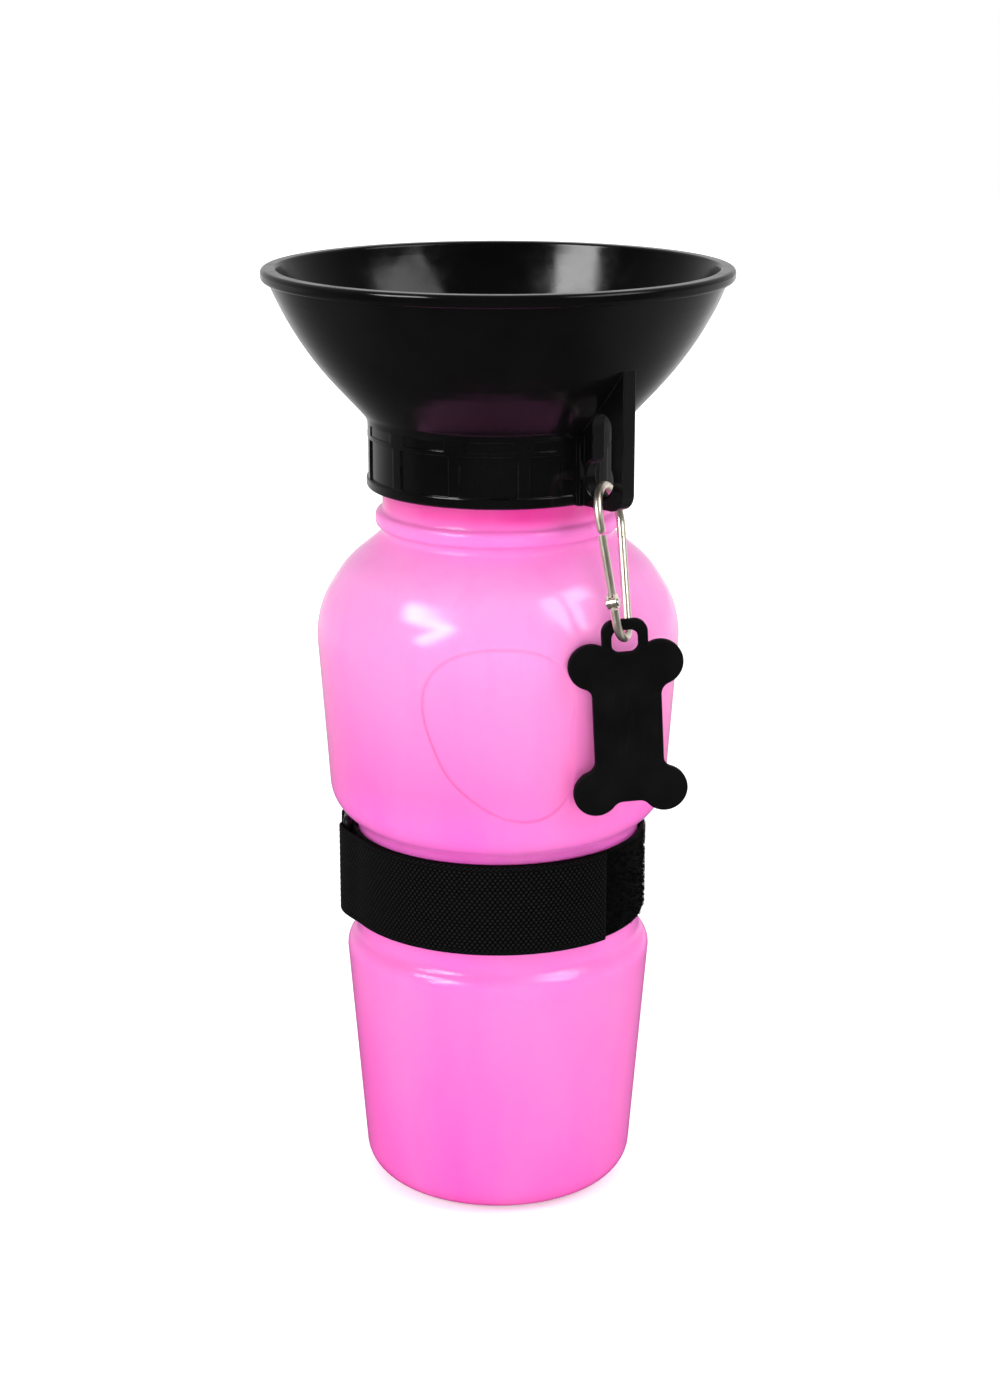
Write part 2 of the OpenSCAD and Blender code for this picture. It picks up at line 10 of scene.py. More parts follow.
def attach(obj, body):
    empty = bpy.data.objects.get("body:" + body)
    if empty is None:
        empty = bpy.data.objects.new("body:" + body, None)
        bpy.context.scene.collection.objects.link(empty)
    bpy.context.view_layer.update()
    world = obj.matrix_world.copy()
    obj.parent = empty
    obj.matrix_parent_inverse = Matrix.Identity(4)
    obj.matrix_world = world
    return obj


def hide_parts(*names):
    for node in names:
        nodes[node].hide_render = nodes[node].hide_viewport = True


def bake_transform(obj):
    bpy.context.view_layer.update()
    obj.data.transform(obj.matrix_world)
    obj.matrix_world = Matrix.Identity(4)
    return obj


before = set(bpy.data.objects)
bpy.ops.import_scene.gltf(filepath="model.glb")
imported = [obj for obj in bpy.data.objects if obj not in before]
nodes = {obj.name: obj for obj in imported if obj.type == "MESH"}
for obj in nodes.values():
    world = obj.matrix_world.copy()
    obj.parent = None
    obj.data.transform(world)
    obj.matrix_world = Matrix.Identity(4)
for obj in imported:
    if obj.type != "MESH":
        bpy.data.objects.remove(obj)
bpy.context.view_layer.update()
scene = bpy.context.scene
MM = 0.001


# ---- Meshes ----

def new_piece(name, verts, faces, material, body, smooth=True):
    """A mesh piece from points in millimetres. It rides on body unless body is None."""
    mesh = bpy.data.meshes.new(name)
    mesh.from_pydata([tuple(c * MM for c in v) for v in verts], [], faces)
    mesh.validate()
    if smooth:
        mesh.polygons.foreach_set("use_smooth", [True] * len(mesh.polygons))
    mesh.materials.append(material)
    piece = bpy.data.objects.new(name, mesh)
    scene.collection.objects.link(piece)
    if body:
        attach(piece, body)
    return piece


def point_attribute(piece, name, values):
    layer = piece.data.attributes.new(name, "FLOAT_VECTOR", "POINT")
    layer.data.foreach_set("vector", [c for v in values for c in v])


def add_tube(verts, faces, points, radii, sides, start=0.0):
    """Adds a closed tube along points to verts and faces. Its ends are flat fans."""
    base = len(verts)
    count = len(points)
    pts = [Vector(p) for p in points]
    side = None
    for i, p in enumerate(pts):
        ahead = (pts[min(i + 1, count - 1)] - pts[max(i - 1, 0)]).normalized()
        if side is None:
            side = ahead.orthogonal().normalized()
        side = (side - ahead * side.dot(ahead)).normalized()
        other = ahead.cross(side)
        for k in range(sides):
            a = start + 2 * math.pi * k / sides
            verts.append(tuple(p + (side * math.cos(a) + other * math.sin(a)) * radii[i]))
    for i in range(count - 1):
        for k in range(sides):
            a = base + i * sides + k
            b = base + i * sides + (k + 1) % sides
            faces.append((a, b, b + sides, a + sides))
    faces.append(tuple(base + k for k in reversed(range(sides))))
    faces.append(tuple(base + (count - 1) * sides + k for k in range(sides)))


# ---- Materials ----

class Finish:
    """A material with its Principled shader, and short ways to add nodes to it."""

    def __init__(self, name, **constants):
        self.material = bpy.data.materials.new(name)
        self.material.use_nodes = True
        self.tree = self.material.node_tree
        self.shader = next(n for n in self.tree.nodes if n.type == "BSDF_PRINCIPLED")
        self.set(**constants)

    def put(self, node, key, value):
        socket = node.inputs[key] if isinstance(key, int) else node.inputs[key.replace("_", " ")]
        if isinstance(value, bpy.types.NodeSocket):
            self.tree.links.new(value, socket)
        else:
            socket.default_value = value

    def set(self, **values):
        for key, value in values.items():
            self.put(self.shader, key, value)

    def add(self, kind, props=None, **values):
        node = self.tree.nodes.new("ShaderNode" + kind)
        for key, value in (props or {}).items():
            setattr(node, key, value)
        for key, value in values.items():
            self.put(node, key, value)
        return node

    def math(self, operation, *values, clamp=False):
        node = self.add("Math", {"operation": operation, "use_clamp": clamp})
        for i, value in enumerate(values):
            self.put(node, i, value)
        return node.outputs[0]

    def object_point(self, scale=(1, 1, 1), turn=(0, 0, 0)):
        coords = self.add("TexCoord")
        mapping = self.add("Mapping", Scale=scale, Rotation=turn, Vector=coords.outputs["Object"])
        return mapping.outputs[0]

    def stored(self, name, scale=(1, 1, 1)):
        coords = self.add("Attribute", {"attribute_type": "GEOMETRY", "attribute_name": name})
        mapping = self.add("Mapping", Scale=scale, Vector=coords.outputs["Vector"])
        return mapping.outputs[0]

    def noise(self, point, scale, detail=2.0, rough=0.5):
        node = self.add("TexNoise", Vector=point, Scale=scale, Detail=detail, Roughness=rough)
        return node.outputs["Fac"]

    def span(self, value, low, high, to_low=0.0, to_high=1.0, smooth=False):
        node = self.add(
            "MapRange", {"interpolation_type": "SMOOTHSTEP" if smooth else "LINEAR"},
            Value=value, From_Min=low, From_Max=high, To_Min=to_low, To_Max=to_high)
        return node.outputs[0]

    def ramp(self, value, stops):
        node = self.add("ValToRGB", Fac=value)
        elements = node.color_ramp.elements
        while len(elements) < len(stops):
            elements.new(0.5)
        for element, (at, color) in zip(elements, stops):
            element.position = at
            element.color = (*color, 1)
        return node.outputs["Color"]

    def blend(self, share, a, b):
        node = self.add("Mix", {"data_type": "RGBA"})
        self.put(node, 0, share)
        for key, value in ((6, a), (7, b)):
            self.put(node, key, value if isinstance(value, bpy.types.NodeSocket) else (*value, 1))
        return node.outputs[2]

    def bump(self, height, distance, strength=1.0, under=None):
        node = self.add("Bump", Height=height, Distance=distance, Strength=strength)
        if under is not None:
            self.put(node, "Normal", under)
        return node.outputs["Normal"]

    def scratches(self, turns, scale=220, width=0.012):
        """Thin lines in a few directions, 1 on a scratch and 0 off it."""
        found = None
        for turn in turns:
            point = self.object_point(scale=(1, 1, 0.06), turn=turn)
            line = self.span(
                self.math("ABSOLUTE", self.math("SUBTRACT", self.noise(point, scale, 1.0), 0.5)), 0, width, 1, 0)
            found = line if found is None else self.math("MAXIMUM", found, line)
        patch = self.span(self.noise(self.object_point(), 35), 0.55, 0.62)
        return self.math("MULTIPLY", found, patch)


def bottle_finish():
    f = Finish(
        "bottle_pink", IOR=1.48, Subsurface_Weight=0.4, Subsurface_Scale=1.0,
        Subsurface_Radius=(0.0010, 0.0005, 0.0008), Specular_IOR_Level=0.24)
    point = f.object_point()
    height = f.add("SeparateXYZ", Vector=point).outputs["Z"]
    # Colour by height: deeper pink towards the base and paler at the shoulder. The more magenta band at the waist is
    # painted light, standing in for the glow through the wall where the bulge shades it, and the deep crimson just
    # under the collar is painted shade.
    tone_and_painted_light = f.ramp(f.span(height, 0, 0.22), [
        (0.0, (0.96, 0.116, 0.545)), (0.10, (0.97, 0.142, 0.58)), (0.28, (0.97, 0.185, 0.60)),
        (0.46, (0.985, 0.165, 0.70)), (0.56, (0.965, 0.165, 0.545)), (0.70, (0.975, 0.265, 0.63)),
        (0.80, (0.975, 0.33, 0.72)), (0.870, (0.97, 0.20, 0.65)), (0.885, (0.80, 0.04, 0.34))])
    cloud = f.noise(f.object_point(scale=(1, 1, 0.35)), 28, 3)
    color = f.blend(f.span(cloud, 0.35, 0.7, 0, 0.35), tone_and_painted_light, (0.965, 0.34, 0.66))
    streak = f.noise(f.object_point(scale=(1, 1, 0.03)), 210, 2)
    color = f.blend(f.span(streak, 0.5, 0.75, 0, 0.12), color, (0.90, 0.15, 0.56))
    marks = f.scratches([(0.4, 0.9, 0), (1.2, -0.5, 0.4)])
    rough = f.math("ADD", f.span(f.noise(point, 90, 3), 0.3, 0.7, 0.15, 0.2), f.math("MULTIPLY", marks, 0.05))
    soft = f.add("Bevel", {"samples": 8}, Radius=0.002).outputs["Normal"]
    wall = f.bump(f.noise(f.object_point(scale=(1, 1, 0.5)), 42, 1), 0.0009, 0.25, soft)
    grain = f.bump(f.noise(point, 2600, 2), 0.00002, 0.4, wall)
    f.set(Base_Color=color, Roughness=rough, Normal=grain)
    return f.material


BOWL_FLOOR, BOWL_RIM = 0.2240, 0.2545     # metres above the table


def moulded_black(name, color, low, high, peel=0.3, specular=0.16, edge=0.0004, wear=1.0, bowl=False):
    """Moulded black plastic: a faint orange peel, fine scratches, and rounded edges made paler in patches, partly as
    rubbed wear and partly as a painted highlight.
    """
    f = Finish(name, IOR=1.49, Specular_IOR_Level=specular)
    point = f.object_point()
    soft = f.add("Bevel", {"samples": 6}, Radius=edge).outputs["Normal"]
    hard = f.add("NewGeometry").outputs["Normal"]
    if bowl:
        # The bowl's inside is polished: above its floor, where the wall faces the axis
        radial = f.add("VectorMath", {"operation": "NORMALIZE"}, Vector=f.object_point(scale=(1, 1, 0))).outputs[0]
        faces = f.add("VectorMath", {"operation": "DOT_PRODUCT"})
        f.put(faces, 0, radial)
        f.put(faces, 1, hard)
        level = f.add("SeparateXYZ", Vector=point).outputs["Z"]
        inside = f.math(
            "MULTIPLY", f.span(faces.outputs["Value"], -0.1, -0.3), f.span(level, BOWL_FLOOR, BOWL_FLOOR + 0.0025))
        inside = f.math("MULTIPLY", inside, f.span(level, BOWL_RIM, BOWL_RIM - 0.002))
        soft = f.blend(inside, soft, f.add("Bevel", {"samples": 8}, Radius=0.0035).outputs["Normal"])
    met = f.add("VectorMath", {"operation": "DOT_PRODUCT"})
    f.put(met, 0, soft)
    f.put(met, 1, hard)
    # Paler patches along the edges: rubbed wear and a painted highlight along the ridges
    rubbed_edge_and_highlight = f.math("MULTIPLY", f.span(met.outputs["Value"], 0.995, 0.86), f.span(f.noise(point, 160, 3), 0.4, 0.65))
    marks = f.scratches([(0.5, 0.8, 0), (-0.7, 0.3, 0.5), (1.3, 0, 0.2)])
    base = f.blend(f.span(f.noise(point, 60, 3), 0.3, 0.7), color, tuple(c * 1.7 for c in color))
    base = f.blend(f.math("MULTIPLY", rubbed_edge_and_highlight, 0.5), base, (0.035, 0.035, 0.036))
    rough = f.math("ADD", f.span(f.noise(point, 130, 4), 0.3, 0.75, low, high), f.math("MULTIPLY", marks, 0.14 * wear))
    normal = f.bump(f.noise(point, 700, 1), 0.00004, peel, soft)
    f.set(Base_Color=base, Roughness=rough, Normal=f.bump(marks, 0.00002, 0.5 * wear, normal))
    return f.material


def soft_black():
    f = Finish("tag_soft_black", IOR=1.45, Specular_IOR_Level=0.06)
    point = f.object_point()
    grain = f.noise(point, 3200, 3, 0.6)
    base = f.blend(f.span(f.noise(point, 120, 4), 0.35, 0.7), (0.0026, 0.0026, 0.0027), (0.0042, 0.0042, 0.0043))
    marks = f.scratches([(0.3, 0.4, 0.9), (1.1, 0.2, -0.4)], scale=300)
    base = f.blend(f.math("MULTIPLY", marks, 0.1), base, (0.02, 0.02, 0.021))
    f.set(
        Base_Color=base, Roughness=f.span(grain, 0.3, 0.7, 0.5, 0.66),
        Normal=f.bump(grain, 0.00005, 0.5, f.bump(f.noise(point, 260, 2), 0.00005, 0.3)))
    return f.material


def wire_metal(name, color, turn, low, high):
    """Plated wire with the fine lines of drawing along it and small dull spots."""
    f = Finish(name, Metallic=1.0)
    point = f.object_point()
    drawn = f.noise(f.object_point(scale=(1, 1, 0.02), turn=turn), 5200, 2)
    spots = f.span(f.noise(point, 420, 4, 0.6), 0.55, 0.72)
    base = f.blend(f.math("MULTIPLY", spots, 0.55), color, tuple(c * 0.55 for c in color))
    rough = f.math("ADD", f.span(f.noise(point, 240, 3), 0.3, 0.7, low, high), f.math("MULTIPLY", spots, 0.2))
    f.set(Base_Color=base, Roughness=rough, Normal=f.bump(drawn, 0.000012, 0.4))
    return f.material


def silicone():
    f = Finish("gasket_silicone", Subsurface_Weight=0.4, Subsurface_Scale=1.0,
               Subsurface_Radius=(0.002, 0.002, 0.002), IOR=1.41)
    point = f.object_point()
    base = f.blend(f.span(f.noise(point, 150, 3), 0.3, 0.7), (0.78, 0.79, 0.79), (0.88, 0.89, 0.88))
    f.set(
        Base_Color=base, Roughness=f.span(f.noise(point, 400, 3), 0.3, 0.7, 0.42, 0.6),
        Normal=f.bump(f.noise(point, 2400, 2), 0.00003, 0.4))
    return f.material


def clear_tube():
    f = Finish("tube_clear", Transmission_Weight=0.85, IOR=1.46)
    point = f.object_point(scale=(1, 1, 0.05))
    base = f.blend(f.span(f.noise(point, 400, 2), 0.3, 0.7), (0.86, 0.9, 0.93), (0.94, 0.96, 0.98))
    f.set(
        Base_Color=base, Roughness=f.span(f.noise(f.object_point(), 300, 3), 0.3, 0.7, 0.08, 0.2),
        Normal=f.bump(f.noise(point, 1800, 2), 0.00003, 0.4))
    return f.material


def woven(name, color, painted_glint, pile=0.0):
    """Nylon webbing. The stored point 'weave' is the place along and across the strip."""
    f = Finish(name, IOR=1.5, Specular_IOR_Level=0.05, Sheen_Roughness=0.4, Sheen_Weight=0.01,
               Sheen_Tint=(0.6, 0.6, 0.62, 1))
    fibres = f.noise(f.stored("weave", scale=(0.22, 1, 1)), 7000, 3, 0.65)
    tangle = f.noise(f.stored("weave"), 2600, 4, 0.7)
    height = f.add("SeparateXYZ", Vector=f.stored("weave")).outputs["Z"]
    float_rise = f.span(height, 0.3, 0.95, smooth=True)
    dots = f.span(f.noise(f.stored("weave", scale=(0.7, 1, 1)), 1100, 3, 0.7), 0.43, 0.60, 0.03, 1)
    # The raised floats, in random dots, are lifted towards the glint colour: a painted highlight on the yarn tops
    painted_glint_share = f.math("MULTIPLY", float_rise, f.math("MULTIPLY", f.span(fibres, 0.3, 0.75), dots))
    base = f.blend(painted_glint_share, color, painted_glint)
    lint = f.span(f.noise(f.stored("weave"), 900, 4, 0.75), 0.66, 0.74)
    base = f.blend(f.math("MULTIPLY", lint, 0.35), base, (0.03, 0.03, 0.031))
    mixed = f.math("ADD", f.math("MULTIPLY", fibres, 0.7), f.math("MULTIPLY", tangle, 0.5 + pile))
    f.set(
        Base_Color=base, Roughness=f.span(tangle, 0.3, 0.7, 0.62, 0.86),
        Normal=f.bump(mixed, 0.00009, 0.7))
    return f.material


def thread():
    f = Finish("strap_thread", IOR=1.5, Specular_IOR_Level=0.3, Sheen_Weight=0.15)
    twist = f.add("TexWave", {"wave_type": "BANDS", "bands_direction": "DIAGONAL"},
                  Vector=f.stored("weave"), Scale=2200.0, Distortion=1.0)
    base = f.blend(twist.outputs["Fac"], (0.006, 0.006, 0.0062), (0.022, 0.022, 0.023))
    f.set(Base_Color=base, Roughness=f.span(twist.outputs["Fac"], 0, 1, 0.5, 0.7),
          Normal=f.bump(twist.outputs["Fac"], 0.00006, 0.8))
    return f.material


bottle_pink = bottle_finish()
cap_black = moulded_black(
    "cap_gloss_black", (0.002, 0.002, 0.0021), 0.09, 0.24, peel=0.05, specular=0.11, wear=0.15, bowl=True)
ring_black = moulded_black("ring_black", (0.0035, 0.0035, 0.0037), 0.26, 0.4, edge=0.0002)
tag_black = soft_black()
# The last colour of each webbing is the painted highlight on its yarn tops
web_black = woven("webbing_black", (0.0005, 0.0005, 0.0006), (0.048, 0.048, 0.0495))
pile_black = woven("loop_pile_black", (0.001, 0.001, 0.0011), (0.0042, 0.0042, 0.0044), pile=0.35)
hook_black = moulded_black("hook_black", (0.004, 0.004, 0.0042), 0.4, 0.55, edge=0.0001)
thread_black = thread()

# Turn that brings the carabiner's own length onto the texture's long direction
CLIP_LEAN = (math.radians(-17), math.radians(-12), 0)
clip_metal = wire_metal("clip_nickel", (0.88, 0.79, 0.665), CLIP_LEAN, 0.26, 0.40)
pin_metal = wire_metal("pin_steel", (0.58, 0.57, 0.55), (0, 0, 0), 0.2, 0.36)
spring_metal = wire_metal("spring_steel", (0.52, 0.52, 0.52), (0.6, 0, 0), 0.22, 0.4)

for node, material in (
        ("bottle", bottle_pink), ("bowl_cap", cap_black), ("gasket", silicone()), ("dip_tube", clear_tube()),
        ("carabiner_frame", clip_metal), ("carabiner_gate", clip_metal), ("gate_pin", pin_metal),
        ("gate_spring", spring_metal)):
    for part_slot in nodes[node].material_slots:
        part_slot.material = material


# ---- Hand strap: one strip of webbing, 25 mm wide, round the waist and back through the ring ----

STRAP_Z = 78.8
STRAP_W = 25.0
STRAP_T = 0.9
BAND_R = 40.15      # middle of the layer on the bottle
FLAP_R = 41.10      # middle of the sewn-down end
OUTER_R = 41.65     # middle of the folded-back layer
RING_ANGLE = 180.0
BAR_SPAN = 7.5
BAR_R = 1.3
TURN_R = BAR_R + 0.15 + STRAP_T / 2
BAR_TRACK = BAND_R + TURN_R
FLAP_SPAN = 44.0
LIFT_SPAN = 20.0
PEEL_START, PEEL_END = -91.0, -80.0     # the free end bends between these
CUT_ANGLE = -46.0
LIE_R = BAND_R + STRAP_T / 2    # outside of the layer on the bottle
SELVEDGE = 1.35
BODY_WEAVE, SELVEDGE_WEAVE = (0.87, 1.36), (0.45, 1.5)      # yarn pitch across and repeat along
FLOAT_SHARE = 0.72              # share of a repeat that a yarn lies on top
WEAVE_DEEP, PILE_DEEP, EDGE_SINK = 0.1, 0.05, 0.04
EDGE_REPEAT = 0.9
END_THIN = (0.55, 0.85, 1.0)    # the last rows of a cut end thin out
RING_Z, RING_H = 76.2, 29.4
RING_THIN, RING_DEEP = 0.8, 1.1     # half height and half depth of the ring's ends
RING_BEND = 1.7


def polar(r, degrees):
    return Vector((r * math.cos(math.radians(degrees)), r * math.sin(math.radians(degrees))))


def sweep(centre, r, start, end, step):
    count = max(2, math.ceil(abs(math.radians(end - start)) * r / step))
    return [centre + polar(r, start + (end - start) * i / count) for i in range(count + 1)]


def settle(r, bar, end, lift, step):
    count = math.ceil(abs(math.radians(end - bar)) * r / step)
    line = []
    for i in range(count + 1):
        a = bar + (end - bar) * i / count
        away = min(1.0, abs(a - bar) / LIFT_SPAN)
        line.append(polar(r + lift * (1 + math.cos(math.pi * away)) / 2, a))
    return line


def joined(parts):
    line = list(parts[0])
    for part in parts[1:]:
        line += part if (part[0] - line[-1]).length > 1e-4 else part[1:]
    return line


def weave_height(s, w):
    """Height from 0 to 1 of the weave, s mm along and w mm across: rows of floats, and a finer selvedge."""
    edge = min(w, STRAP_W - w)
    pitch, repeat = BODY_WEAVE if edge > SELVEDGE else SELVEDGE_WEAVE
    yarn = math.floor(w / pitch)
    across = 2 * (w / pitch - yarn) - 1
    along = (s / repeat - yarn * 0.5) % 1.0
    if along < FLOAT_SHARE:
        over = math.sin(math.pi * along / FLOAT_SHARE)
    else:
        over = -0.35 * math.sin(math.pi * (along - FLOAT_SHARE) / (1 - FLOAT_SHARE))
    return max(0.0, (0.35 + 0.65 * over) * math.sqrt(max(0.0, 1 - 0.85 * across * across)))


def webbing(name, line, s0, step_w, body, closed_ends):
    """A strip of webbing on edge along line. Its right-hand face is woven and its left-hand face carries the pile."""
    rng = random.Random(len(line))
    half = STRAP_T / 2
    edge_r = 0.40
    flat_w = STRAP_W - 2 * edge_r
    columns = round(flat_w / step_w)
    # Round the section: place across, height as a share of the half thickness, and 1 woven, -1 pile or 0 edge
    ring = [(edge_r + flat_w * i / columns, 1.0, 1) for i in range(columns + 1)]
    turns = [math.pi * i / 5 for i in range(1, 5)]
    ring += [(STRAP_W - edge_r + edge_r * math.sin(a), math.cos(a), 0) for a in turns]
    ring += [(STRAP_W - edge_r - flat_w * i / columns, -1.0, -1) for i in range(columns + 1)]
    ring += [(edge_r - edge_r * math.sin(a), -math.cos(a), 0) for a in turns]
    verts, faces, marks = [], [], []
    count = len(line)
    s = s0
    for i, p in enumerate(line):
        if i:
            s += (p - line[i - 1]).length
        ahead = (line[min(i + 1, count - 1)] - line[max(i - 1, 0)]).normalized()
        out = Vector((ahead.y, -ahead.x))
        to_end = min(i if closed_ends[0] else count, count - 1 - i if closed_ends[1] else count)
        thin = END_THIN[min(to_end, 2)]
        for w, h, kind in ring:
            if kind == 1:
                lift = weave_height(s, w)
                rise = half - WEAVE_DEEP + WEAVE_DEEP * lift
            elif kind == -1:
                lift = rng.random()
                rise = half - PILE_DEEP + PILE_DEEP * lift
            else:
                lift = 0.35 + 0.3 * math.sin(s * 2 * math.pi / EDGE_REPEAT)
                rise = half - EDGE_SINK
            q = p + out * (h * rise * thin)
            verts.append((q.x, q.y, STRAP_Z + w))
            marks.append((s * MM, w * MM, lift))
    n = len(ring)
    rounds = len(turns)
    for i in range(count - 1):
        for k in range(n):
            a, b = i * n + k, i * n + (k + 1) % n
            faces.append((a, a + n, b + n, b))
    top = range(columns + 1)
    low = [2 * columns + 1 + rounds - k for k in range(columns + 1)]
    for base, flip in ((0, False), ((count - 1) * n, True)):
        for k in range(columns):
            quad = (base + top[k], base + top[k + 1], base + low[k + 1], base + low[k])
            faces.append(tuple(reversed(quad)) if flip else quad)
        right = [base + columns + k for k in range(rounds + 2)]
        left = [base + (2 * columns + 1 + rounds + k) % n for k in range(rounds + 2)]
        faces.append(tuple(reversed(right)) if flip else tuple(right))
        faces.append(tuple(reversed(left)) if flip else tuple(left))
    piece = new_piece(name, verts, faces, web_black, body)
    piece.data.materials.append(pile_black)
    kinds = [kind for _, _, kind in ring]
    for i in range(count - 1):
        for k in range(n):
            if kinds[k] == -1 and kinds[(k + 1) % n] == -1:
                piece.data.polygons[i * n + k].material_index = 1
    point_attribute(piece, "weave", marks)
    return piece, s


rear = RING_ANGLE - BAR_SPAN
front = RING_ANGLE + BAR_SPAN
track = BAR_TRACK + TURN_R
STEP, TURN_STEP, OUTER_STEP = 0.42, 0.3, 0.34
flap_line = list(reversed(settle(FLAP_R, rear, rear - FLAP_SPAN, track - FLAP_R, STEP)))
rear_turn = sweep(polar(BAR_TRACK, rear), TURN_R, rear, rear + 180, TURN_STEP)
band_line = sweep(Vector((0, 0)), BAND_R, rear, front - 360, STEP)
front_turn = sweep(polar(BAR_TRACK, front), TURN_R, front + 180, front + 360, TURN_STEP)
outer_line = settle(OUTER_R, front, 360 + CUT_ANGLE, track - OUTER_R, OUTER_STEP)

band, band_end_s = webbing(
    "strap_webbing", joined([flap_line, rear_turn, band_line]), 0.0, 0.3, "strap", (True, False))
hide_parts("strap_band")
outer, _ = webbing(
    "strap_outer_layer", joined([front_turn, outer_line]), band_end_s, 0.18, None, (False, True))
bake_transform(outer)
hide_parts("strap_tab")


def loop_pile():
    """The fuzz of small loops on the outer face of the layer on the bottle, flattened where the hooks lie on it."""
    rng = random.Random(7)
    verts, faces, marks = [], [], []
    for first, last, count, low, high in ((CUT_ANGLE + 1.2, rear - FLAP_SPAN - 1.2, 5200, 0.35, 0.72),
                                          (PEEL_END, CUT_ANGLE + 1.0, 1000, 0.08, 0.14)):
        for _ in range(count):
            a = math.radians(rng.uniform(first, last))
            w = rng.uniform(0.5, STRAP_W - 0.5)
            tall = rng.uniform(low, high)
            wide = rng.uniform(0.16, 0.34)
            heading = rng.uniform(0, 2 * math.pi)
            lean = rng.uniform(-0.35, 0.35) * tall
            radial = Vector((math.cos(a), math.sin(a), 0))
            tangent = Vector((-math.sin(a), math.cos(a), 0))
            along = tangent * math.cos(heading) + Vector((0, 0, 1)) * math.sin(heading)
            aside = radial.cross(along)
            foot = radial * (LIE_R - 0.12) + Vector((0, 0, STRAP_Z + w))
            points = []
            for k in range(6):
                t = k / 5
                points.append(
                    foot + along * wide * math.cos(math.pi * t) + aside * lean * math.sin(math.pi * t)
                    + radial * (0.1 + tall) * math.sin(math.pi * t) ** 0.7)
            before = len(verts)
            add_tube(verts, faces, points, [0.05] * 6, 3, rng.uniform(0, 2))
            marks += [(a * LIE_R * MM, w * MM, rng.random())] * (len(verts) - before)
    piece = new_piece("strap_loop_pile", verts, faces, pile_black, "strap")
    point_attribute(piece, "weave", marks)


loop_pile()


def hook_strip():
    """A thin moulded strip with rows of small hooks, sewn inside the free end of the strap."""
    base_r = OUTER_R - STRAP_T / 2 - 0.01
    back = 0.1
    first, last = PEEL_END + 0.5, CUT_ANGLE - 1
    low, high = 1.0, STRAP_W - 1.0
    verts, faces = [], []
    columns = 60
    for i in range(columns + 1):
        a = first + (last - first) * i / columns
        for r, z in ((base_r, low), (base_r, high), (base_r - back, high), (base_r - back, low)):
            p = polar(r, a)
            verts.append((p.x, p.y, STRAP_Z + z))
    for i in range(columns):
        for k in range(4):
            a, b = 4 * i + k, 4 * i + (k + 1) % 4
            faces.append((a, b, b + 4, a + 4))
    faces.append((0, 3, 2, 1))
    faces.append(tuple(4 * columns + k for k in range(4)))
    pitch, across = 1.0, 22
    rows = round(math.radians(last - first) * base_r / pitch)
    for i in range(1, rows):
        a = math.radians(first + (last - first) * i / rows)
        radial = Vector((math.cos(a), math.sin(a), 0))
        tangent = Vector((-math.sin(a), math.cos(a), 0))
        for k in range(across):
            z = STRAP_Z + 1.9 + k * pitch + (0.25 if i % 2 else -0.25)
            way = 1 if k % 2 else -1
            foot = radial * (base_r - back + 0.02) + Vector((0, 0, z))
            points = [foot, foot - radial * 0.13, foot - radial * 0.2 + tangent * 0.08 * way,
                      foot - radial * 0.19 + tangent * 0.2 * way]
            add_tube(verts, faces, points, [0.09, 0.07, 0.06, 0.045], 4, math.pi / 4)
    piece = new_piece("strap_hook_strip", verts, faces, hook_black, "strap_tab", smooth=False)
    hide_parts("hook_patch")


hook_strip()


def stitches():
    """A box of thread round the sewn-down end. Each stitch dips into the webbing at both ends."""
    r = FLAP_R + STRAP_T / 2 + 0.02
    first = rear - FLAP_SPAN + 2
    span = FLAP_SPAN - LIFT_SPAN - 4
    margin = 3.0
    long_rows, rows = 4, 7
    half = 1.08
    crown, dip = 0.2, 0.22
    radii = [0.16, 0.2] + [0.22] * 5 + [0.2, 0.16]
    verts, faces, marks = [], [], []

    def stitch(a, z, upright):
        radial = Vector((math.cos(a), math.sin(a), 0))
        along = Vector((0, 0, 1)) if upright else Vector((-math.sin(a), math.cos(a), 0))
        points = []
        for k in range(9):
            t = k / 4 - 1
            up = r + crown * (1 - abs(t) ** 3) - dip * abs(t) ** 6
            points.append(radial * up + Vector((0, 0, z)) + along * half * t)
        before = len(verts)
        add_tube(verts, faces, points, radii, 10)
        for v in verts[before:]:
            marks.append((Vector(v).dot(along) * MM, math.atan2(v[2] - z, 1) * MM, 0.5))

    for i in range(long_rows):
        for z in (STRAP_Z + margin, STRAP_Z + STRAP_W - margin):
            stitch(math.radians(first + span * (i + 0.5) / long_rows), z, False)
    rise = (STRAP_W - 2 * margin) / rows
    for i in range(rows):
        for a in (first, first + span):
            stitch(math.radians(a), STRAP_Z + margin + rise * (i + 0.5), True)
    piece = new_piece("strap_stitching", verts, faces, thread_black, "strap")
    point_attribute(piece, "weave", marks)
    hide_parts("strap_stitches")


stitches()


